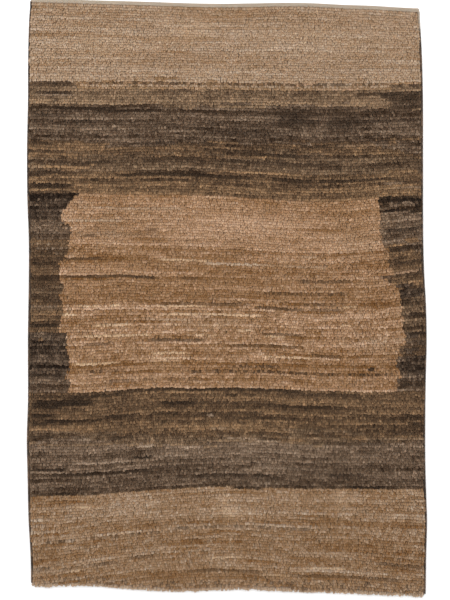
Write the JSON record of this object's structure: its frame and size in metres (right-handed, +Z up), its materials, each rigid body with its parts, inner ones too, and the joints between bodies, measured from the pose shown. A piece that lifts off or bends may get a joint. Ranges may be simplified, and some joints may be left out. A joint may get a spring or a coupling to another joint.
{
  "type": "gabbeh rug",
  "caption": "Hand-knotted wool gabbeh rug lying flat, plain nested rectangle in camel and brown abrash, pale flat-woven end and dark overcast side bindings",
  "frame": {"origin": "on the floor, under the middle of the rug's box", "axes": "+Z up out of the pile; +Y along the rug's length towards the pale flat-woven end; +X across the rug to its right side, seen from above with +Y at the top"},
  "size_m": [1.0129, 1.515, 0.0139],
  "materials": {
    "pile_wool": "short cut wool pile, matte, camel and brown",
    "end_strip_wool": "flat-woven undyed wool, matte, pale beige",
    "binding_wool": "overcast wool cord, matte, dark brown"
  },
  "bodies": {
    "root": {"pile_field": "pile_wool", "end_strip": "end_strip_wool", "binding_left": "binding_wool", "binding_right": "binding_wool"}
  },
  "joints": []
}
